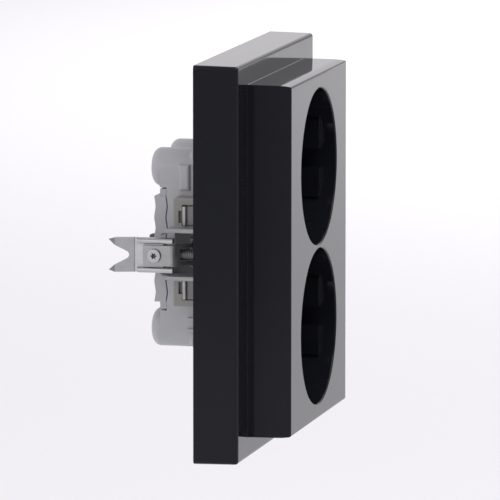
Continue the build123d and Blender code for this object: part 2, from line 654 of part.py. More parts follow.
def side_boss():
    """Raised boss on the side of an upper tower, for the right side."""
    boss = block(PIN_X, BOSS_OUTER, BOSS_FRONT, BOSS_BACK, BOSS_LOW, BOSS_HIGH)
    return fillet(boss.faces().sort_by(Axis.X)[-1].edges(), BOSS_EDGE)


def foot_ribs():
    """Two thin ribs on the side of a lower tower, for the right side."""
    ribs = Part()
    for rib_offset in FOOT_RIB_OFFSETS:
        row = WELL_Z + rib_offset
        ribs += block(PIN_X, BOSS_OUTER, PLATE_CLEARANCE, FOOT_RIB_BACK,
                      -row - FOOT_RIB_THICKNESS / 2, -row + FOOT_RIB_THICKNESS / 2)
    return ribs


def make_insert_body():
    """Moulded body of the insert: four contact towers round a block of terminal chambers."""
    body = slab(insert_outline(0), PLATE_FRONT, BODY_STEP_BACK)
    body = chamfer(body.faces().sort_by(Axis.Y)[-1].edges(), BODY_STEP_EDGE)
    wide = slab(Rectangle(2 * BLOCK_HALF_WIDTH, 2 * BLOCK_HALF_HEIGHT), PLATE_FRONT, BLOCK_SIDE_BACK)
    body += fillet(wide.faces().sort_by(Axis.Y)[-1].edges(), BLOCK_SIDE_EDGE)
    core = slab(Rectangle(2 * CORE_HALF_WIDTH, 2 * BLOCK_HALF_HEIGHT), PLATE_FRONT, REAR_COVER_BACK)
    body += core - side_bar(wavy_band(BLOCK_BACK, FAR, BLOCK_HALF_HEIGHT + PAST), -FAR, FAR)
    recess = block(CLAW_RECESS_FACE, FAR, PLATE_FRONT - PAST, FAR, -CHEEK_FACE, CHEEK_FACE)
    tab_pocket = block(TAB_FACE - PLATE_CLEARANCE, FAR, PLATE_FRONT - PAST, TAB_BACK + PLATE_CLEARANCE,
                       TAB_INNER - PLATE_CLEARANCE, TAB_OUTER + PLATE_CLEARANCE)
    tab_pocket += block(TAB_FACE - PLATE_CLEARANCE, FAR, 0, RELEASE_BACK, RELEASE_LOW, RELEASE_HIGH)
    for cut in (recess, tab_pocket, mirrored_z(tab_pocket)):
        body -= cut
        body -= mirrored_x(cut)
    outer_forms = [tower(), latched_neck(), guide_cheek()]
    outer_forms += [mirrored_z(form) for form in outer_forms]
    outer_forms += [side_boss(), foot_ribs()]
    for form in outer_forms:
        body += form
        body += mirrored_x(form)
    hollow = pole_recess()
    body -= hollow
    body -= mirrored_x(hollow)
    body -= chamber_cut(EARTH_CHAMBER_START)
    body -= tongue_slot(EARTH_CHAMBER_START)
    for centre_z in WELL_ROWS:
        body -= disc(0, centre_z, SCREW_DIAMETER / 2 + SCREW_CLEARANCE, PLATE_FRONT - PAST,
                     BODY_STEP_BACK / 2)
    return body


def make_rear_cover():
    """Rear cover over the terminals: wavy plate with wire entries, lever windows and four latches."""
    band = wavy_band(REAR_COVER_FRONT, REAR_COVER_BACK, REAR_COVER_HALF_HEIGHT)
    cover = side_bar(band, -CORE_HALF_WIDTH, CORE_HALF_WIDTH)
    latch = block(LATCH_INNER, LATCH_OUTER, REAR_COVER_FRONT, NECK_BACK,
                  REAR_COVER_HALF_HEIGHT - PAST, LATCH_REACH)
    for piece in (latch, mirrored_x(latch)):
        cover += piece
        cover += mirrored_z(piece)
    for start, direction in TERMINALS:
        wire_x = start + direction * WIRE_ENTRY
        lever_x = start + direction * LEVER_CENTRE
        window = Pos(lever_x, 0) * Rectangle(LEVER_THICKNESS + 2 * LEVER_FIT,
                                             2 * (LEVER_HALF_WIDTH + LEVER_FIT))
        cover -= slab(window, 0, FAR)
        for sz in (-1, 1):
            hole = Pos(wire_x, sz * TERMINAL_OFFSET) * Circle(WIRE_HOLE_DIAMETER / 2)
            cover -= slab(hole, 0, FAR)
            mouth = Pos(wire_x, sz * TERMINAL_OFFSET) * Circle(WIRE_HOLE_DIAMETER / 2 + 2 * WIRE_FUNNEL)
            mouth_plane = Plane.XZ.offset(-REAR_COVER_BACK - WIRE_FUNNEL)
            cover -= extrude(mouth_plane * mouth, amount=2 * WIRE_FUNNEL, taper=COUNTERSINK_DEG)
    return cover


def make_pole_contact():
    """Pole contact: one brass strip with two split sleeves and a terminal tongue, for the right side."""
    inner = POLE_CHAMBER_START + TONGUE_GAP
    strip = block(inner, STRIP_OUTER, STRIP_FRONT, STRIP_BACK, -STRIP_HALF_HEIGHT, STRIP_HALF_HEIGHT)
    tongue = block(inner, inner + STRIP_THICKNESS, STRIP_FRONT, TONGUE_BACK,
                   -TONGUE_CONTACT_HALF, TONGUE_CONTACT_HALF)
    contact = strip + tongue
    for sz in (-1, 1):
        centre_z = sz * WELL_Z
        contact += disc(PIN_X, centre_z, SLEEVE_BORE_RADIUS + SLEEVE_WALL, STRIP_FRONT, SLEEVE_BACK)
        contact -= disc(PIN_X, centre_z, SLEEVE_BORE_RADIUS, STRIP_FRONT - PAST, SLEEVE_BACK + PAST)
        contact -= block(0, FAR, STRIP_BACK + SLEEVE_ROOT, SLEEVE_BACK + PAST,
                         centre_z - SLEEVE_SPLIT / 2, centre_z + SLEEVE_SPLIT / 2)
    return contact


def make_clamp_springs():
    """Two leaf springs of one terminal, with the chamber's inner wall at X = 0."""
    points = [(SPRING_ANCHOR, SPRING_BACK), (SPRING_ANCHOR, SPRING_FRONT),
              (SPRING_ANCHOR - 2 * SPRING_BEND, SPRING_FRONT), (SPRING_TIP, SPRING_TIP_DEPTH)]
    section = sheet_section(points, SPRING_THICKNESS, SPRING_BEND)
    low = TERMINAL_OFFSET - SPRING_WIDTH / 2
    upper = plan_bar(section, low, low + SPRING_WIDTH)
    return upper + mirrored_z(upper)


def make_release_lever():
    """Release lever of one terminal, with the chamber's inner wall at X = 0."""
    half = LEVER_THICKNESS / 2
    bar_back = REAR_COVER_FRONT - WAVE_DEPTH - LEVER_FIT
    stem = block(LEVER_CENTRE - half, LEVER_CENTRE + half, bar_back - LEVER_BAR_THICKNESS,
                 REAR_COVER_BACK + LEVER_PROUD, -LEVER_HALF_WIDTH, LEVER_HALF_WIDTH)
    stem = fillet(stem.faces().sort_by(Axis.Y)[-1].edges(), LEVER_EDGE)
    bar = block(LEVER_CENTRE - half, LEVER_CENTRE + half, bar_back - LEVER_BAR_THICKNESS, bar_back,
                -LEVER_BAR_HALF, LEVER_BAR_HALF)
    foot = block(LEVER_CENTRE - half, LEVER_CENTRE + half, LEVER_FOOT_FRONT, bar_back,
                 TERMINAL_OFFSET - SPRING_WIDTH / 2, LEVER_BAR_HALF)
    return stem + bar + foot + mirrored_z(foot)


def claw_side_outline():
    """Side view of a claw: two hardened tips with a deep notch between them."""
    upper = [(CLAW_WEB_FRONT - PAST, CLAW_HALF_WIDTH), (CLAW_TAPER_Y, CLAW_HALF_WIDTH),
             (CLAW_TIP_Y, CLAW_TIP_Z), (CLAW_TAPER_Y, CLAW_INNER_Z),
             (CLAW_NOTCH_Y, CLAW_NOTCH_Z), (CLAW_VALLEY_Y, CLAW_VALLEY_Z)]
    lower = [(y, -z) for y, z in reversed(upper)]
    return make_face(Polyline(*upper, *lower, close=True))


def tip_bevel():
    """What is ground off the outer face of a claw's tips."""
    taper_face = CLAW_WEB_X + CLAW_THICKNESS / 2 + CLAW_LEAN * (CLAW_TAPER_Y - CLAW_BEND_Y)
    tip_face = CLAW_TIP_X + CLAW_THICKNESS / 2 - CLAW_GRIND
    outline = make_face(Polyline(
        (FAR, CLAW_TAPER_Y), (taper_face, CLAW_TAPER_Y), (tip_face, CLAW_TIP_Y),
        (tip_face, FAR), (FAR, FAR), close=True))
    return plan_bar(outline, -FAR, FAR)


def side_screw_hole():
    """Cross hole for the screw that fixes a claw on its strap."""
    outline = Pos(SIDE_SCREW_Y, 0) * Circle(SIDE_SCREW_DIAMETER / 2 + THREAD_CLEARANCE)
    return side_bar(outline, 0, FAR)


def make_claw():
    """Claw for the right side: bent sheet with stiffening beads and a forked end."""
    web_points = [(CLAW_WEB_X, CLAW_WEB_FRONT), (CLAW_WEB_X, CLAW_BEND_Y),
                  (CLAW_TIP_X + CLAW_LEAN * PAST, CLAW_TIP_Y + PAST)]
    section = sheet_section(web_points, CLAW_THICKNESS, STRAP_BEND_RADIUS / 2)
    claw = plan_bar(section, -FAR, FAR) & side_bar(claw_side_outline(), 0, FAR)
    inner = CLAW_WEB_X - CLAW_THICKNESS / 2
    bead = block(inner, inner + CLAW_THICKNESS + BEAD_RISE, BEAD_FRONT, BEAD_BACK,
                 BEAD_INNER, CLAW_HALF_WIDTH)
    bead = fillet(bead.faces().sort_by(Axis.X)[-1].edges().filter_by(Axis.Y), BEAD_EDGE)
    groove_floor = CLAW_WEB_X + CLAW_THICKNESS / 2 - CLAW_GROOVE_DEPTH
    groove_front = CLAW_BEND_Y - CLAW_GROOVE_WIDTH / 2
    claw -= block(groove_floor, FAR, groove_front, groove_front + CLAW_GROOVE_WIDTH, -FAR, FAR)
    relief = block(0, FAR, BEAD_BACK, BEAD_BACK + BEND_RELIEF, BEAD_INNER, FAR)
    claw -= relief
    claw -= mirrored_z(relief)
    claw += bead
    claw += mirrored_z(bead)
    return claw - tip_bevel() - side_screw_hole()


def make_claw_strap():
    """Strap for the right side: rolled eye on the pin, sloping leg with the screw's slot, side plate."""
    points = [(CLAW_PIVOT_X, CLAW_PIVOT_Y), (STRAP_X, STRAP_BEND_Y), (STRAP_X, STRAP_BACK + STRAP_THICKNESS)]
    section = sheet_section(points, STRAP_THICKNESS, STRAP_BEND_RADIUS)
    section += Pos(CLAW_PIVOT_X, CLAW_PIVOT_Y) * Circle(CLAW_EYE_RADIUS)
    section -= Pos(CLAW_PIVOT_X, CLAW_PIVOT_Y) * Circle(CLAW_PIN_DIAMETER / 2 + CLAW_PIN_FIT)
    strap = plan_bar(section, -STRAP_HALF_WIDTH, STRAP_HALF_WIDTH)
    strap -= block(0, FAR, STRAP_BACK, FAR, -FAR, FAR)
    slope = math.degrees(math.atan2(STRAP_BEND_Y - CLAW_PIVOT_Y, STRAP_X - CLAW_PIVOT_X))
    slot_middle = (STRAP_SLOT_NEAR + STRAP_SLOT_FAR) / 2
    slot = Pos(slot_middle, 0, 0) * Box(STRAP_SLOT_FAR - STRAP_SLOT_NEAR, 3 * STRAP_THICKNESS,
                                        2 * STRAP_SLOT_HALF)
    strap -= Pos(CLAW_PIVOT_X, CLAW_PIVOT_Y, 0) * Rot(0, 0, slope) * slot
    return strap - side_screw_hole()


def star(radius, points):
    """Outline of a star recess: alternate long and short points."""
    corners = []
    for step in range(2 * points):
        reach = radius if step % 2 == 0 else radius * STAR_WAIST
        angle = math.pi * step / points
        corners.append((reach * math.cos(angle), reach * math.sin(angle)))
    return make_face(Polyline(*corners, close=True))


def make_claw_screw():
    """Small screw that fixes the claw on its strap, with a star recess, for the right side."""
    seat = STRAP_X + STRAP_THICKNESS / 2
    top = seat + SIDE_SCREW_HEAD_HEIGHT
    at = Pos(SIDE_SCREW_Y, 0)
    head = side_bar(at * Circle(SIDE_SCREW_HEAD / 2), seat, top)
    head = fillet(head.faces().sort_by(Axis.X)[-1].edges(), SIDE_SCREW_HEAD_HEIGHT / 3)
    shank = side_bar(at * Circle(SIDE_SCREW_DIAMETER / 2), seat - SIDE_SCREW_REACH, seat)
    recess = side_bar(at * star(STAR_RADIUS, STAR_POINTS), top - STAR_DEPTH, top + PAST)
    return head + shank - recess


def make_claw_pin():
    """Hinge pin of a claw, held in the plate's two ears, for the right side."""
    reach = STRAP_HALF_WIDTH + PLATE_CLEARANCE + EAR_THICKNESS + PLATE_CLEARANCE
    at = Pos(CLAW_PIVOT_X, CLAW_PIVOT_Y)
    return plan_bar(at * Circle(CLAW_PIN_DIAMETER / 2), -reach, reach)


def make_tension_screw():
    """Screw that swings a claw out, held in the plate by its head and a collar, for the right side."""
    head_back = PLATE_FRONT - TENSION_FLOAT
    head_front = head_back - TENSION_HEAD_HEIGHT
    head = disc(TENSION_X, 0, TENSION_HEAD_DIAMETER / 2, head_front, head_back)
    head = fillet(head.faces().sort_by(Axis.Y)[0].edges(), TENSION_HEAD_HEIGHT / 4)
    shank = disc(TENSION_X, 0, SCREW_DIAMETER / 2, head_back, TENSION_TIP_Y)
    shank = chamfer(shank.faces().sort_by(Axis.Y)[-1].edges(), SCREW_END_CHAMFER)
    collar = disc(TENSION_X, 0, TENSION_COLLAR_DIAMETER / 2, TENSION_FLOAT, TENSION_FLOAT + TENSION_COLLAR)
    recess = Pos(TENSION_X, head_front, 0) * cross_cut(TENSION_HEAD_DIAMETER * SLOT_CUT_REACH, SLOT_CUT_DEPTH)
    return head + shank + collar - recess


def make_tension_nut():
    """Square nut behind the strap's sloping leg, for the right side."""
    outline = RectangleRounded(NUT_WIDTH, NUT_HEIGHT, NUT_CORNER)
    outline -= Circle(SCREW_DIAMETER / 2 + THREAD_CLEARANCE)
    return slab(Pos(TENSION_X, 0) * outline, NUT_FRONT, NUT_FRONT + NUT_THICKNESS)


# Each terminal's inner wall and the way its chamber runs: left pole, earth, right pole
TERMINALS = ((-POLE_CHAMBER_START, -1), (EARTH_CHAMBER_START, 1), (POLE_CHAMBER_START, 1))


def at_terminal(shape, start, direction):
    """A terminal's piece put at its chamber, turned over where the chamber runs to the left."""
    placed = mirrored_x(shape) if direction < 0 else shape
    return Pos(start, 0, 0) * placed


def make_all():
    """Every node by name."""
    nodes = {
        "frame": make_frame(),
        "cover": make_cover(),
        "cover_screw_upper": make_cover_screw(WELL_Z),
        "cover_screw_lower": make_cover_screw(-WELL_Z),
        "support_plate": make_support_plate(),
        "contact_cover": make_contact_cover(),
        "insert_body": make_insert_body(),
        "rear_cover": make_rear_cover(),
        "earth_bracket": make_earth_bracket(),
        "middle_earth_clip": make_middle_clip(),
    }
    springs = make_clamp_springs()
    lever = make_release_lever()
    for name, (start, direction) in zip(("left", "earth", "right"), TERMINALS):
        nodes[f"clamp_springs_{name}"] = at_terminal(springs, start, direction)
        nodes[f"release_lever_{name}"] = at_terminal(lever, start, direction)
    paired = {
        "pole_contact": make_pole_contact(),
        "claw": make_claw(),
        "claw_strap": make_claw_strap(),
        "claw_screw": make_claw_screw(),
        "claw_pin": make_claw_pin(),
        "tension_screw": make_tension_screw(),
        "tension_nut": make_tension_nut(),
    }
    for name, shape in paired.items():
        nodes[f"{name}_right"] = shape
        nodes[f"{name}_left"] = mirrored_x(shape)
    return nodes


os.makedirs("parts", exist_ok=True)
for node, shape in make_all().items():
    export_step(shape, f"parts/{node}.step")
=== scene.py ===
"""The finished look of a double wall socket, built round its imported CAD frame."""

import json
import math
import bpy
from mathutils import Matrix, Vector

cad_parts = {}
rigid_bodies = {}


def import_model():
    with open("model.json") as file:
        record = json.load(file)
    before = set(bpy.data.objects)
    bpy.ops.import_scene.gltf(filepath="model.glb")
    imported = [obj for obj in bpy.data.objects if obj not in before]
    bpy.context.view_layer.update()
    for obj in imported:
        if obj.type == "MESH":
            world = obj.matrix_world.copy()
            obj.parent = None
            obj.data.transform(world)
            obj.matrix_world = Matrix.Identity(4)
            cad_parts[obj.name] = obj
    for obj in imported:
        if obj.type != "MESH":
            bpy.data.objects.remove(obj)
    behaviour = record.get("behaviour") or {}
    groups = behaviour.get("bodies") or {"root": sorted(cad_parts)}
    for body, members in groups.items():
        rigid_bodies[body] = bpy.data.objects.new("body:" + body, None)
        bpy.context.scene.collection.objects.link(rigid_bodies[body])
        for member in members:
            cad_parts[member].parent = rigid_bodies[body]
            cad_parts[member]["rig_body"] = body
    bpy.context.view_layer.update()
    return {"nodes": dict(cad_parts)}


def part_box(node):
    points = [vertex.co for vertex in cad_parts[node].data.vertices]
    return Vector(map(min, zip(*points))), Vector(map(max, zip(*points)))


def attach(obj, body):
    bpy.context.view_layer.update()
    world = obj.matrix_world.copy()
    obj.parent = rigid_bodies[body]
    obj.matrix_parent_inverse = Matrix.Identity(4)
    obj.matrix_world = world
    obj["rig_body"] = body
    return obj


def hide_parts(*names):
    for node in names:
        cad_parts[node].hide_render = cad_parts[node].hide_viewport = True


bl_info = {
    "name": "Double wall socket",
    "version": (1, 0, 0),
    "blender": (4, 5, 0),
    "location": "View3D > Sidebar > Socket",
    "description": "Finishes, rounded edges, screw threads and a studio for a double wall socket",
    "category": "Object",
}

import bmesh
import bpy
import numpy as np
from bpy.props import FloatProperty, FloatVectorProperty, PointerProperty
from mathutils import Vector

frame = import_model()

MM = 0.001
SIDES = {"left": -1, "right": 1}

# Limits of a band of colour that lie before and past the whole socket.
BEFORE_ALL = -1.0
PAST_ALL = 1.0

# Half the width of a sharp change of colour, and of the soft ends of the painted shade on the sides.
SHARP_BLUR = 0.02 * MM
SIDE_BLUR = 0.5 * MM

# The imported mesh's corners are joined within this distance, and its faces where they are this flat.
JOIN_DISTANCE = 0.001 * MM
FLAT_ANGLE = math.radians(0.3)

# Edges sharper than this are rounded, in this many steps.
SHARP_ANGLE = math.radians(32)
EDGE_STEPS = 2

# Tension screw: its axis is 23.5 mm from the middle, and its thread starts behind the collar at 0.8 mm.
TENSION_X = 23.5 * MM
THREAD_START = 0.8 * MM
THREAD_CREST = 1.5 * MM
COLLAR_SLACK = 0.05 * MM

# The thread's rows for one pitch, its columns for one turn, and how steep and how low its wave is cut.
THREAD_ROWS = 10
THREAD_COLUMNS = 48
FLANK_SLOPE = 2.6
CREST_CUT = 0.15

# The claws are painted darker from 24.7 mm behind the wall plane to their tips, this share as light as the
# rest.
CLAW_DARK_FROM = 24.7 * MM
CLAW_DARK_SHARE = 0.4

# The body's sides, painted a darker beige grey as painted shade: more than 14.7 mm from its middle, and
# 6.9 to 14.3 mm above or below the claws.
SIDE_X = 14.7 * MM
SIDE_Z = 6.9 * MM
SIDE_END = 14.3 * MM

# The recess of each claw lies between the guide walls, more than 17 mm from the middle, and its walls are
# painted this share as light as the rest, as painted shade.
RECESS_X = 17.0 * MM
RECESS_Z = 5.7 * MM
RECESS_SHADE_SHARE = 0.38

# The snap tabs' folded part, from the plate to the lip along Y, and how light it is painted against the
# rest: painted shade for the frame's shadow on it.
FOLD_FRONT = 0.4 * MM
FOLD_BACK = 7.2 * MM
FOLD_SHADE_SHARE = 0.45

# The straps' legs lie within this distance of the middle. Their slot reaches close to the bend.
STRAP_LEG_X = 26.0 * MM

# A claw screw's head stands 28.2 mm from the middle. What lies below this is its recess and rim, which are
# painted this share as light as its face, as painted shade.
HEAD_TOP = 28.05 * MM
HEAD_SHADE_SHARE = 0.15

# Where the outer faces of the body's necks end under the towers, and the towers' middle that they run up to.
NECK_X = 14.5 * MM
NECK_Z = 17.5 * MM
NECK_SLACK = 0.02 * MM
TOWER_Z = 21.1 * MM

# How far the front edge of the frame's opening leans in to the cover, how deep that edge is, and how far
# from the cover it lies at most.
LIP_REACH = 0.15 * MM
LIP_DEPTH = 0.1 * MM
LIP_MARGIN = 1.0 * MM

# Half sides of the cover where it comes out of the frame, and the width of the fine rim round it there.
# The rim's crest stands a tenth of its width in front of the frame.
RIM_X = 32.29 * MM
RIM_Z = 45.78 * MM
RIM_WIDTH = 0.18 * MM
RIM_CREST_SHARE = 0.1

# How much the grain of rolled sheet is drawn out: its scale along the rolling is this share of that across.
# A turned piece has an even grain.
STEEL_STRETCH = 0.06
BRASS_STRETCH = 0.08
SPRING_STRETCH = 0.08
EVEN = (1.0, 1.0, 1.0)

# The lamps' and the room's faintly violet white, and in metres the lamps' places and widths and the floor's
# half width.
LIGHT_TINT = (0.985, 0.965, 1.0)
KEY_PLACE = Vector((-0.4, -0.9, 1.5))
KEY_WIDTH = 1.2
FILL_PLACE = Vector((-1.6, 0.9, 0.35))
FILL_WIDTH = 1.0
FAR_PLACE = Vector((3.2, -0.1, 0.8))
FAR_WIDTH = 1.0
FLOOR_REACH = 12.0

# The camera's film width in millimetres, its shift as a share of the picture, and how far it sees in metres.
FILM_WIDTH = 36
SHIFT_RIGHT = 0.0349
SHIFT_UP = -0.0131
CAMERA_REACH = 60


def linear(code):
    """An sRGB hex colour as the linear red, green and blue that Blender's sockets take."""
    channels = np.array([int(code[start:start + 2], 16) for start in (0, 2, 4)]) / 255
    dark = channels / 12.92
    light = ((channels + 0.055) / 1.055) ** 2.4
    return tuple(np.where(channels <= 0.04045, dark, light).tolist())


def colour_property(name, description, code):
    """A colour that the user may change, from its sRGB hex value."""
    return FloatVectorProperty(name=name, description=description, subtype="COLOR", size=3,
                               min=0.0, max=1.0, default=linear(code))


class SocketColours(bpy.types.PropertyGroup):
    """Base colours of the socket's finishes. Beige grey and strap zinc are darkened to hold painted shade."""

    graphite: colour_property("Graphite", "Frame and cover", "141519")
    insert_grey: colour_property("Insert grey", "Moulded body and rear cover", "9c9da0")
    lever: colour_property("Lever", "Release levers of the terminals", "3a3b3e")
    # Beige grey is darkened to hold painted shade on the body's sides.
    beige: colour_property("Beige grey", "Sides of the moulded body", "7b7b76")
    zinc: colour_property("Zinc", "Zinc plating on sheet steel and screws", "a9aaab")
    # Strap zinc is the zinc darkened as painted shade, for the straps' shaded legs and the plate.
    shaded_strap_zinc: colour_property("Strap zinc", "Zinc darkened as painted shade on the straps and the plate", "949494")
    black_zinc: colour_property("Black zinc", "Black passivated tension screws", "8c8c8c")
    tinned: colour_property("Tin", "Tin plating on the earth parts", "b4b1a9")
    brass: colour_property("Brass", "Bare pole contacts", "c9a25c")
    spring: colour_property("Spring steel", "Clamp springs", "9c9c9e")


class SocketSizes(bpy.types.PropertyGroup):
    """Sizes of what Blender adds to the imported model."""

    plastic_edge: FloatProperty(name="Plastic edge", description="Rounding of moulded edges",
                                default=0.15 * MM, min=0.0, unit="LENGTH", precision=5)
    sheet_edge: FloatProperty(name="Sheet edge", description="Rounding of stamped sheet edges",
                              default=0.09 * MM, min=0.0, unit="LENGTH", precision=5)
    screw_edge: FloatProperty(name="Screw edge", description="Rounding of screw and nut edges",
                              default=0.07 * MM, min=0.0, unit="LENGTH", precision=5)
    recess_edge: FloatProperty(name="Recess edge", description="Rounding of the small star recesses",
                               default=0.03 * MM, min=0.0, unit="LENGTH", precision=5)
    rim_height: FloatProperty(name="Rim height", description="Fine rim round the cover at the frame",
                              default=0.14 * MM, min=0.0, unit="LENGTH", precision=5)
    thread_pitch: FloatProperty(name="Thread pitch", description="Pitch of the M3 screws",
                                default=0.5 * MM, min=0.1 * MM, unit="LENGTH", precision=5)
    thread_depth: FloatProperty(name="Thread depth", description="Depth of the M3 thread",
                                default=0.27 * MM, min=0.0, unit="LENGTH", precision=5)


class SocketStudio(bpy.types.PropertyGroup):
    """Floor, light and camera."""

    floor_drop: FloatProperty(name="Floor drop", description="Floor below the middle of the socket",
                              default=0.30, min=0.06, unit="LENGTH")
    sky: FloatProperty(name="Sky", description="Strength of the light from all round",
                       default=1.0, min=0.0)
    front_sky: FloatProperty(name="Front sky", description="Share of the light left at the upper front",
                             default=0.62, min=0.0)
    zenith: FloatProperty(name="Zenith", description="Share of the light left overhead",
                          default=0.68, min=0.0)
    far_light: FloatProperty(name="Far light", description="Power of the light over the far floor",
                             default=13.0, min=0.0, unit="POWER")
    side_fill: FloatProperty(name="Side fill", description="Power of the soft light at the left rear",
                             default=5.7, min=0.0, unit="POWER")
    key: FloatProperty(name="Key light", description="Power of the large soft light",
                       default=25.0, min=0.0, unit="POWER")
    camera_distance: FloatProperty(name="Camera distance", description="From the middle of the wall plane",
                                   default=1.7629, min=0.2, unit="LENGTH")
    camera_turn: FloatProperty(name="Camera turn", description="Round from the front towards the left",
                               default=math.radians(76.31), subtype="ANGLE")
    camera_rise: FloatProperty(name="Camera rise", description="Above the level of the socket",
                               default=math.radians(7.87), subtype="ANGLE")
    lens: FloatProperty(name="Lens", description="Focal length", default=483.6, min=1.0, unit="CAMERA")


def add(tree, kind, settings=None, values=None, links=None):
    """Adds one node with its settings, its unlinked socket values and its incoming links."""
    node = tree.nodes.new(kind)
    for name, value in (settings or {}).items():
        setattr(node, name, value)
    for name, value in (values or {}).items():
        node.inputs[name].default_value = value
    for name, output in (links or {}).items():
        tree.links.new(output, node.inputs[name])
    return node


def empty_material(name):
    """A new material with an empty node tree."""
    material = bpy.data.materials.new(name)
    material.use_nodes = True
    material.node_tree.nodes.clear()
    return material, material.node_tree


def opaque(colour):
    """A colour with full alpha."""
    return (*colour, 1.0)


def shaded(colour, share):
    """A colour made lighter or darker by a share."""
    return (*(min(1.0, channel * share) for channel in colour), 1.0)


def polished_asa(colour):
    """Graphite ASA from a mirror-polished mould: a deep gloss, with a faint long ripple and hazy patches."""
    material, tree = empty_material("graphite_asa_mirror_gloss")
    place = add(tree, "ShaderNodeTexCoord").outputs["Object"]
    # Shrinkage over ribs and walls leaves a ripple about 14 mm long in the gloss.
    ripple = add(tree, "ShaderNodeTexNoise", values={"Scale": 1 / (14 * MM), "Detail": 1.0},
                 links={"Vector": place})
    # Handling leaves hazy patches about 6 mm across, shown as a change of roughness.
    haze = add(tree, "ShaderNodeTexNoise", values={"Scale": 1 / (6 * MM), "Detail": 4.0},
               links={"Vector": place})
    rough = add(tree, "ShaderNodeMapRange",
                values={"From Min": 0.35, "From Max": 0.75, "To Min": 0.04, "To Max": 0.09},
                links={"Value": haze.outputs["Fac"]})
    bump = add(tree, "ShaderNodeBump", values={"Strength": 0.08, "Distance": 0.25 * MM},
               links={"Height": ripple.outputs["Fac"]})
    # The tint tones the mirror down where it is seen head on, and leaves it full at a grazing angle.
    surface = add(tree, "ShaderNodeBsdfPrincipled",
                  values={"Base Color": opaque(colour), "IOR": 1.52,
                          "Specular Tint": opaque((0.25, 0.25, 0.26))},
                  links={"Roughness": rough.outputs["Result"], "Normal": bump.outputs["Normal"]})
    add(tree, "ShaderNodeOutputMaterial", links={"Surface": surface.outputs["BSDF"]})
    return material


def band(tree, place, axis, low, high, blur=SHARP_BLUR):
    """1 where the distance from the middle plane along an axis lies between two limits, and 0 elsewhere, with
    a change that is twice the blur wide at both limits."""
    axes = add(tree, "ShaderNodeSeparateXYZ", links={"Vector": place})
    reach = add(tree, "ShaderNodeMath", {"operation": "ABSOLUTE"}, links={0: axes.outputs[axis]})
    above = add(tree, "ShaderNodeMapRange", values={"From Min": low - blur, "From Max": low + blur},
                links={"Value": reach.outputs["Value"]})
    below = add(tree, "ShaderNodeMapRange", values={"From Min": high + blur, "From Max": high - blur},
                links={"Value": reach.outputs["Value"]})
    return product(tree, above.outputs["Result"], below.outputs["Result"])


def product(tree, first, second):
    """Two shares multiplied, so the result is full only where both are."""
    times = add(tree, "ShaderNodeMath", {"operation": "MULTIPLY"}, links={0: first, 1: second})
    return times.outputs["Value"]


def tinted(tree, tone, colour, share):
    """A tone turned to a second colour by a share."""
    mix = add(tree, "ShaderNodeMix", {"data_type": "RGBA"}, {"B": colour}, {"Factor": share, "A": tone})
    return mix.outputs["Result"]


def moulded_polyamide(name, colour, roughness, shaded_side_colour=None):
    """Glass-filled polyamide from an eroded mould: satin, finely pitted and a little cloudy."""
    material, tree = empty_material(name)
    place = add(tree, "ShaderNodeTexCoord").outputs["Object"]
    # Glass fibres make clouds about 5 mm across.
    clouds = add(tree, "ShaderNodeTexNoise", values={"Scale": 1 / (5 * MM), "Detail": 3.0},
                 links={"Vector": place})
    tone = add(tree, "ShaderNodeMix", {"data_type": "RGBA"},
               {"A": shaded(colour, 0.93), "B": shaded(colour, 1.06)},
               {"Factor": clouds.outputs["Fac"]})
    tone = tone.outputs["Result"]
    if shaded_side_colour:
        # The side blocks between towers and claws are painted a darker beige grey than the rest: painted
        # shade, with a beige tint.
        outer = band(tree, place, "X", SIDE_X, PAST_ALL)
        beside = band(tree, place, "Z", SIDE_Z, SIDE_END, SIDE_BLUR)
        tone = tinted(tree, tone, opaque(shaded_side_colour), product(tree, outer, beside))
        # Painted shade: the walls of the deep recess behind a claw are painted much darker than the rest.
        outer = band(tree, place, "X", RECESS_X, PAST_ALL)
        level = band(tree, place, "Z", BEFORE_ALL, RECESS_Z)
        tone = tinted(tree, tone, shaded(colour, RECESS_SHADE_SHARE), product(tree, outer, level))
    # Spark erosion leaves pits of about 0.06 mm, drawn at 0.25 mm to show in the render.
    pits = add(tree, "ShaderNodeTexNoise", values={"Scale": 1 / (0.25 * MM), "Detail": 2.0},
               links={"Vector": place})
    rough = add(tree, "ShaderNodeMapRange",
                values={"From Min": 0.3, "From Max": 0.7,
                        "To Min": roughness - 0.05, "To Max": roughness + 0.08},
                links={"Value": clouds.outputs["Fac"]})
    bump = add(tree, "ShaderNodeBump", values={"Strength": 0.35, "Distance": 0.02 * MM},
               links={"Height": pits.outputs["Fac"]})
    surface = add(tree, "ShaderNodeBsdfPrincipled", values={"IOR": 1.53},
                  links={"Base Color": tone, "Roughness": rough.outputs["Result"],
                         "Normal": bump.outputs["Normal"]})
    add(tree, "ShaderNodeOutputMaterial", links={"Surface": surface.outputs["BSDF"]})
    return material


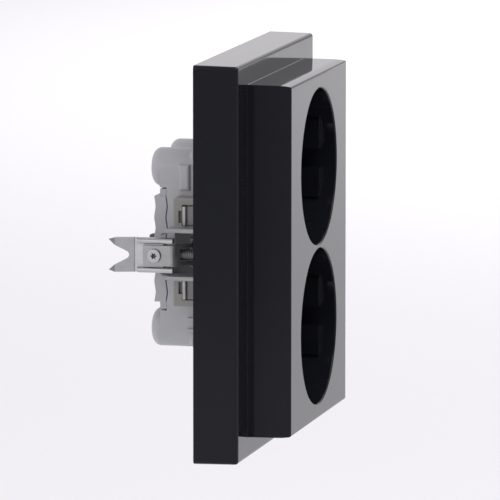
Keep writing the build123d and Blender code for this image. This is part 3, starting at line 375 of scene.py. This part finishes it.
def plated_sheet(name, colour, roughness, stretch, dark_band=None, dark_share=1.0):
    """Plated strip metal: rolling grain along one way, with the plating's cloudy bloom over it. A dark band,
    given by an axis and two limits, is painted darker: painted shade on the snap tabs and in the claw screws'
    recesses and rims, and darker tips on the claws."""
    material, tree = empty_material(name)
    place = add(tree, "ShaderNodeTexCoord").outputs["Object"]
    # Rolling lines are about 0.08 mm apart, drawn at 0.2 mm to show, and run lengthways.
    drawn = add(tree, "ShaderNodeMapping", values={"Scale": stretch}, links={"Vector": place})
    grain = add(tree, "ShaderNodeTexNoise", values={"Scale": 1 / (0.2 * MM), "Detail": 2.0},
                links={"Vector": drawn.outputs["Vector"]})
    # The bloom of the plating bath is about 3 mm across.
    bloom = add(tree, "ShaderNodeTexNoise", values={"Scale": 1 / (3 * MM), "Detail": 4.0},
                links={"Vector": place})
    tone = add(tree, "ShaderNodeMix", {"data_type": "RGBA"},
               {"A": shaded(colour, 0.82), "B": shaded(colour, 1.08)},
               {"Factor": bloom.outputs["Fac"]})
    tone = tone.outputs["Result"]
    if dark_band:
        tone = tinted(tree, tone, shaded(colour, dark_share), band(tree, place, *dark_band))
    rough = add(tree, "ShaderNodeMapRange",
                values={"From Min": 0.3, "From Max": 0.7,
                        "To Min": roughness - 0.07, "To Max": roughness + 0.1},
                links={"Value": grain.outputs["Fac"]})
    bump = add(tree, "ShaderNodeBump", values={"Strength": 0.25, "Distance": 0.01 * MM},
               links={"Height": grain.outputs["Fac"]})
    surface = add(tree, "ShaderNodeBsdfPrincipled", values={"Metallic": 1.0},
                  links={"Base Color": tone, "Roughness": rough.outputs["Result"],
                         "Normal": bump.outputs["Normal"]})
    add(tree, "ShaderNodeOutputMaterial", links={"Surface": surface.outputs["BSDF"]})
    return material


def stage_paint():
    """White studio paper: matt, with a faint tooth."""
    material, tree = empty_material("white_studio_paper")
    place = add(tree, "ShaderNodeTexCoord").outputs["Object"]
    # Paper fibre shows as a tooth of about 2 mm.
    tooth = add(tree, "ShaderNodeTexNoise", values={"Scale": 1 / (2 * MM), "Detail": 2.0},
                links={"Vector": place})
    tone = add(tree, "ShaderNodeMix", {"data_type": "RGBA"},
               {"A": opaque(linear("f8f8f8")), "B": opaque(linear("fdfdfd"))},
               {"Factor": tooth.outputs["Fac"]})
    surface = add(tree, "ShaderNodeBsdfPrincipled", values={"Roughness": 0.9, "Specular IOR Level": 0.1},
                  links={"Base Color": tone.outputs["Result"]})
    add(tree, "ShaderNodeOutputMaterial", links={"Surface": surface.outputs["BSDF"]})
    return material


def body_of(node):
    """The CAD body that a node rides on."""
    return frame["nodes"][node]["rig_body"]


def finish_piece(piece, node, material, edge):
    """Gives a piece its material, its fine rounded edges and its place on the frame."""
    mesh = piece.data
    mesh.materials.clear()
    mesh.materials.append(material)
    mesh.shade_smooth()
    bevel = piece.modifiers.new("rounded edges", "BEVEL")
    bevel.width = edge
    bevel.segments = EDGE_STEPS
    bevel.limit_method = "ANGLE"
    bevel.angle_limit = SHARP_ANGLE
    flats = piece.modifiers.new("flat faces kept flat", "WEIGHTED_NORMAL")
    flats.weight = 100
    flats.keep_sharp = True
    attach(piece, body_of(node))


def lean_lip(form):
    """Leans the front edge of the frame's opening in to the cover."""
    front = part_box("frame")[0][1]
    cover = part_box("cover")[1]
    for vert in form.verts:
        place = vert.co
        near = abs(place.x) < cover.x + LIP_MARGIN and abs(place.z) < cover.z + LIP_MARGIN
        if near and place.y < front + LIP_DEPTH:
            place.x -= math.copysign(LIP_REACH, place.x)
            place.z -= math.copysign(LIP_REACH, place.z)


def raise_necks(form):
    """Runs the necks' outer faces up to the middle of the towers, where the round sides start."""
    for vert in form.verts:
        place = vert.co
        if abs(place.x) > NECK_X and abs(abs(place.z) - NECK_Z) < NECK_SLACK:
            place.z = math.copysign(TOWER_Z, place.z)


def edged_copy(node, material, edge, keep=None, reshape=None, split=None):
    """A piece that stands for a CAD node: its loose triangles joined into flat faces, with every sharp edge
    rounded. It has only the faces whose corners all pass the test keep, and reshape moves its corners. A flat
    face whose middle passes the test split is cut up at its inner corners, so that the rounding folds none
    of it over."""
    mesh = frame["nodes"][node].data.copy()
    piece = bpy.data.objects.new(node + "_edged", mesh)
    bpy.context.scene.collection.objects.link(piece)
    form = bmesh.new()
    form.from_mesh(mesh)
    if keep:
        dropped = [face for face in form.faces if not all(keep(vert.co) for vert in face.verts)]
        bmesh.ops.delete(form, geom=dropped, context="FACES")
    bmesh.ops.remove_doubles(form, verts=form.verts, dist=JOIN_DISTANCE)
    bmesh.ops.dissolve_limit(form, angle_limit=FLAT_ANGLE, verts=form.verts, edges=form.edges)
    if split:
        concave = [face for face in form.faces if split(face.calc_center_median())]
        bmesh.ops.connect_verts_concave(form, faces=concave)
    if reshape:
        reshape(form)
    form.to_mesh(mesh)
    form.free()
    finish_piece(piece, node, material, edge)
    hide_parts(node)


def grid_mesh(name, points, closed_round=False, closed_along=False, capped=False):
    """A mesh from a grid of points (rows, columns, 3). Closed round joins its last column to its first,
    closed along joins its last row to its first, and capped lays a flat face over its last row."""
    rows, columns = points.shape[:2]
    row, column = np.meshgrid(np.arange(rows if closed_along else rows - 1),
                              np.arange(columns if closed_round else columns - 1), indexing="ij")
    next_row = (row + 1) % rows
    next_column = (column + 1) % columns
    corners = (row * columns + column, row * columns + next_column,
               next_row * columns + next_column, next_row * columns + column)
    faces = np.stack(corners, axis=-1).reshape(-1, 4).tolist()
    if capped:
        faces.append(list(range((rows - 1) * columns, rows * columns)))
    mesh = bpy.data.meshes.new(name)
    mesh.from_pydata(points.reshape(-1, 3).tolist(), [], faces)
    mesh.update()
    return mesh


def rim_points(front, height):
    """Surface of the fine rim round the cover at the frame's front.

    Each profile point at place y is a rectangle with the half sides RIM_X + h and RIM_Z + h, where h rises
    from 0 to the full height just in front of the frame and falls back to 0 at the frame."""
    corners = np.array(((1, 1), (1, -1), (-1, -1), (-1, 1)))
    rise = np.array((0.0, height, 0.0))[:, None]
    along = np.array((front - RIM_WIDTH, front - RIM_CREST_SHARE * RIM_WIDTH, front))[:, None]
    across = (RIM_X + rise) * corners[:, 0]
    return np.stack([across, along + 0 * across, (RIM_Z + rise) * corners[:, 1]], axis=-1)


def thread_points(centre, start, end, crest, pitch, depth):
    """Surface of a screw thread along Y.

    The radius at turn angle a and place y is the crest less the depth times a wave w. The wave falls from 1
    to 0 and rises again with the phase (y / pitch + a / full turn), and is cut flat at crest and root. It
    fades in over one pitch at the start, and the last pitch narrows to the root, as a cut screw's end."""
    rows = int(round((end - start) / pitch * THREAD_ROWS)) + 1
    along = np.linspace(start, end, rows)[:, None]
    # The turn runs backwards, so that the faces point outwards.
    turn = np.linspace(2 * math.pi, 0, THREAD_COLUMNS, endpoint=False)[None, :]
    phase = (along / pitch + turn / (2 * math.pi)) % 1.0
    wave = np.clip(np.abs(phase - 0.5) * FLANK_SLOPE - CREST_CUT, 0, 1)
    fade = np.clip((along - start) / pitch, 0, 1)
    narrow = np.clip((along - end + pitch) / pitch, 0, 1)
    radius = crest - depth * np.maximum(wave * fade, narrow)
    return np.stack([centre + radius * np.cos(turn), along + 0 * turn, radius * np.sin(turn)], axis=-1)


def new_piece(name, mesh, material, node):
    """A piece of its own, which rides on a CAD node's body and has its material slot."""
    piece = bpy.data.objects.new(name, mesh)
    bpy.context.scene.collection.objects.link(piece)
    mesh.materials.append(material)
    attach(piece, body_of(node))


class SOCKET_OT_mouldings(bpy.types.Operator):
    """Glossy frame and cover"""

    bl_idname = "socket.mouldings"
    bl_label = "Frame and cover"

    def execute(self, context):
        gloss = polished_asa(context.scene.socket_colours.graphite)
        edge = context.scene.socket_sizes.plastic_edge
        edged_copy("frame", gloss, edge, reshape=lean_lip)
        edged_copy("cover", gloss, edge)
        points = rim_points(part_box("frame")[0][1], context.scene.socket_sizes.rim_height)
        rim = grid_mesh("cover_rim", points, closed_round=True, closed_along=True)
        new_piece("cover_rim", rim, gloss, "cover")
        return {"FINISHED"}


class SOCKET_OT_insert(bpy.types.Operator):
    """Moulded insert, its covers and its release levers"""

    bl_idname = "socket.insert"
    bl_label = "Insert"

    def execute(self, context):
        colours = context.scene.socket_colours
        edge = context.scene.socket_sizes.plastic_edge
        grey = moulded_polyamide("grey_glass_filled_polyamide", colours.insert_grey, roughness=0.42)
        # The body's material holds painted shade on its side blocks and in the claws' recesses.
        body = moulded_polyamide("grey_polyamide_with_shaded_beige_sides", colours.insert_grey, roughness=0.42,
                                 shaded_side_colour=colours.beige)
        lever = moulded_polyamide("dark_polyamide_lever", colours.lever, roughness=0.38)
        edged_copy("insert_body", body, edge, reshape=raise_necks)
        for node in ("rear_cover", "contact_cover"):
            edged_copy(node, grey, edge)
        for name in ("left", "earth", "right"):
            edged_copy(f"release_lever_{name}", lever, edge)
        return {"FINISHED"}


class SOCKET_OT_sheet_parts(bpy.types.Operator):
    """Support plate, claws and straps of plated sheet steel"""

    bl_idname = "socket.sheet_parts"
    bl_label = "Plate and claws"

    def execute(self, context):
        colours = context.scene.socket_colours
        edge = context.scene.socket_sizes.sheet_edge
        across = (STEEL_STRETCH, 1.0, 1.0)
        deep = (1.0, STEEL_STRETCH, 1.0)
        # Painted shade: the plate takes the darkened strap zinc.
        plate = plated_sheet("zinc_plated_steel_plate", colours.shaded_strap_zinc, roughness=0.36, stretch=across,
                             # Painted shade: the tabs' folded part is painted darker, for the frame's shadow
                             # on it.
                             dark_band=("Y", FOLD_FRONT, FOLD_BACK), dark_share=FOLD_SHADE_SHARE)
        # The claws are painted darker towards their tips.
        claw = plated_sheet("zinc_plated_steel_claw", colours.zinc, roughness=0.34, stretch=deep,
                            dark_band=("Y", CLAW_DARK_FROM, PAST_ALL), dark_share=CLAW_DARK_SHARE)
        # Painted shade: the straps take the darkened strap zinc.
        strap = plated_sheet("zinc_plated_steel_strap", colours.shaded_strap_zinc, roughness=0.34, stretch=deep)
        edged_copy("support_plate", plate, edge)
        for side in SIDES:
            edged_copy(f"claw_{side}", claw, edge)
            edged_copy(f"claw_strap_{side}", strap, edge, split=lambda place: abs(place.x) < STRAP_LEG_X)
        return {"FINISHED"}


class SOCKET_OT_contacts(bpy.types.Operator):
    """Earth clips, pole contacts and clamp springs"""

    bl_idname = "socket.contacts"
    bl_label = "Contacts and springs"

    def execute(self, context):
        colours = context.scene.socket_colours
        edge = context.scene.socket_sizes.sheet_edge
        upright = (1.0, 1.0, BRASS_STRETCH)
        deep = (1.0, SPRING_STRETCH, 1.0)
        tinned = plated_sheet("tin_plated_brass", colours.tinned, roughness=0.3, stretch=upright)
        brass = plated_sheet("rolled_brass", colours.brass, roughness=0.26, stretch=upright)
        spring = plated_sheet("bright_spring_steel", colours.spring, roughness=0.24, stretch=deep)
        edged_copy("earth_bracket", tinned, edge)
        edged_copy("middle_earth_clip", tinned, edge)
        for side in SIDES:
            edged_copy(f"pole_contact_{side}", brass, edge)
        for name in ("left", "earth", "right"):
            edged_copy(f"clamp_springs_{name}", spring, edge)
        return {"FINISHED"}


class SOCKET_OT_screws(bpy.types.Operator):
    """Screws with cut threads, hinge pins and nuts"""

    bl_idname = "socket.screws"
    bl_label = "Screws and nuts"

    def execute(self, context):
        sizes = context.scene.socket_sizes
        colours = context.scene.socket_colours
        bright = plated_sheet("zinc_plated_screw_steel", colours.zinc, roughness=0.27, stretch=EVEN)
        # Painted shade: the claw screws' recesses and rims are painted much darker than their faces.
        claw_screw = plated_sheet("zinc_plated_claw_screw", colours.zinc, roughness=0.27, stretch=EVEN,
                                  dark_band=("X", BEFORE_ALL, HEAD_TOP), dark_share=HEAD_SHADE_SHARE)
        black = plated_sheet("black_passivated_screw_steel", colours.black_zinc, roughness=0.35,
                             stretch=EVEN)
        for row in ("upper", "lower"):
            edged_copy(f"cover_screw_{row}", bright, sizes.screw_edge)
        for side, sign in SIDES.items():
            edged_copy(f"claw_screw_{side}", claw_screw, sizes.recess_edge)
            for name in ("claw_pin", "tension_nut"):
                edged_copy(f"{name}_{side}", bright, sizes.screw_edge)
            node = f"tension_screw_{side}"
            edged_copy(node, black, sizes.screw_edge,
                       keep=lambda place: place.y < THREAD_START + COLLAR_SLACK)
            points = thread_points(sign * TENSION_X, THREAD_START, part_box(node)[1][1], THREAD_CREST,
                                   sizes.thread_pitch, sizes.thread_depth)
            thread = grid_mesh(node + "_thread", points, closed_round=True, capped=True)
            thread.shade_smooth()
            new_piece(node + "_thread", thread, black, node)
        return {"FINISHED"}


def studio_light(studio):
    """Faintly violet light from all round, dimmer overhead and at the upper front, and fixed to the room."""
    world = bpy.data.worlds.new("studio_light")
    world.use_nodes = True
    tree = world.node_tree
    tree.nodes.clear()
    place = add(tree, "ShaderNodeTexCoord").outputs["Object"]
    towards = add(tree, "ShaderNodeSeparateXYZ", links={"Vector": place})
    # The dimmer part of the room starts a little to the front of the sides and just above the level.
    front = add(tree, "ShaderNodeMapRange", values={"From Min": -0.10, "From Max": -0.18},
                links={"Value": towards.outputs["Y"]})
    up = add(tree, "ShaderNodeMapRange", values={"From Min": 0.0, "From Max": 0.05},
             links={"Value": towards.outputs["Z"]})
    wall = product(tree, front.outputs["Result"], up.outputs["Result"])
    level = add(tree, "ShaderNodeMapRange",
                values={"To Min": studio.sky, "To Max": studio.front_sky * studio.sky},
                links={"Value": wall})
    # Overhead it fades further, from 17 degrees up to 64 degrees up.
    overhead = add(tree, "ShaderNodeMapRange",
                   values={"From Min": 0.3, "From Max": 0.9, "To Min": 1.0, "To Max": studio.zenith},
                   links={"Value": towards.outputs["Z"]})
    strength = product(tree, level.outputs["Result"], overhead.outputs["Result"])
    sky = add(tree, "ShaderNodeBackground", values={"Color": opaque(LIGHT_TINT)},
              links={"Strength": strength})
    add(tree, "ShaderNodeOutputWorld", links={"Surface": sky.outputs["Background"]})
    return world


class SOCKET_OT_stage(bpy.types.Operator):
    """Pale floor, soft light and the photo's camera"""

    bl_idname = "socket.stage"
    bl_label = "Studio"

    def execute(self, context):
        studio = context.scene.socket_studio
        span = np.array([-FLOOR_REACH, FLOOR_REACH])
        x, y = np.meshgrid(span, span)
        points = np.stack([x, y, np.full_like(x, -studio.floor_drop)], axis=-1)
        floor = bpy.data.objects.new("studio_floor", grid_mesh("studio_floor", points))
        context.scene.collection.objects.link(floor)
        floor.data.materials.append(stage_paint())
        context.scene.world = studio_light(studio)
        middle = Vector((0, 0, 0))
        self.lamp(context, "soft_key", KEY_PLACE, middle, KEY_WIDTH, studio.key)
        self.lamp(context, "side_fill", FILL_PLACE, middle, FILL_WIDTH, studio.side_fill)
        below = Vector((FAR_PLACE.x, FAR_PLACE.y, -studio.floor_drop))
        far = self.lamp(context, "far_floor_light", FAR_PLACE, below, FAR_WIDTH, studio.far_light)
        # The far light itself would show as a hard line in the rounded edges.
        far.visible_glossy = False
        camera_data = bpy.data.cameras.new("camera")
        camera_data.lens = studio.lens
        camera_data.sensor_width = FILM_WIDTH
        camera_data.clip_end = CAMERA_REACH
        camera_data.shift_x = SHIFT_RIGHT
        camera_data.shift_y = SHIFT_UP
        camera = bpy.data.objects.new("camera", camera_data)
        context.scene.collection.objects.link(camera)
        level = studio.camera_distance * math.cos(studio.camera_rise)
        camera.location = (-level * math.sin(studio.camera_turn),
                           -level * math.cos(studio.camera_turn),
                           studio.camera_distance * math.sin(studio.camera_rise))
        camera.rotation_euler = (-camera.location).to_track_quat("-Z", "Y").to_euler()
        context.scene.camera = camera
        context.scene.view_settings.view_transform = "Standard"
        return {"FINISHED"}

    def lamp(self, context, name, place, target, size, power):
        """A square soft light that looks at a target."""
        data = bpy.data.lights.new(name, "AREA")
        data.size = size
        data.energy = power
        data.color = LIGHT_TINT
        light = bpy.data.objects.new(name, data)
        context.scene.collection.objects.link(light)
        light.location = place
        light.rotation_euler = (target - place).to_track_quat("-Z", "Y").to_euler()
        return light


class SOCKET_PT_panel(bpy.types.Panel):
    """Socket pieces and their sizes"""

    bl_label = "Double wall socket"
    bl_idname = "SOCKET_PT_panel"
    bl_space_type = "VIEW_3D"
    bl_region_type = "UI"
    bl_category = "Socket"

    def draw(self, context):
        for operator in PIECE_OPERATORS:
            self.layout.operator(operator.bl_idname)
        scene = context.scene
        for group in (scene.socket_colours, scene.socket_sizes, scene.socket_studio):
            for name in group.__annotations__:
                self.layout.prop(group, name)


PIECE_OPERATORS = (SOCKET_OT_stage, SOCKET_OT_mouldings, SOCKET_OT_insert, SOCKET_OT_sheet_parts,
                   SOCKET_OT_contacts, SOCKET_OT_screws)
CLASSES = (SocketColours, SocketSizes, SocketStudio, *PIECE_OPERATORS, SOCKET_PT_panel)


def register():
    """Adds the classes, and the socket's values to the scene."""
    for cls in CLASSES:
        bpy.utils.register_class(cls)
    bpy.types.Scene.socket_colours = PointerProperty(type=SocketColours)
    bpy.types.Scene.socket_sizes = PointerProperty(type=SocketSizes)
    bpy.types.Scene.socket_studio = PointerProperty(type=SocketStudio)


def unregister():
    """Takes the socket's values and the classes away again."""
    del bpy.types.Scene.socket_studio
    del bpy.types.Scene.socket_sizes
    del bpy.types.Scene.socket_colours
    for cls in reversed(CLASSES):
        bpy.utils.unregister_class(cls)


def main():
    """Builds every piece."""
    register()
    bpy.ops.socket.stage()
    bpy.ops.socket.mouldings()
    bpy.ops.socket.insert()
    bpy.ops.socket.sheet_parts()
    bpy.ops.socket.contacts()
    bpy.ops.socket.screws()


if __name__ == "__main__":
    main()
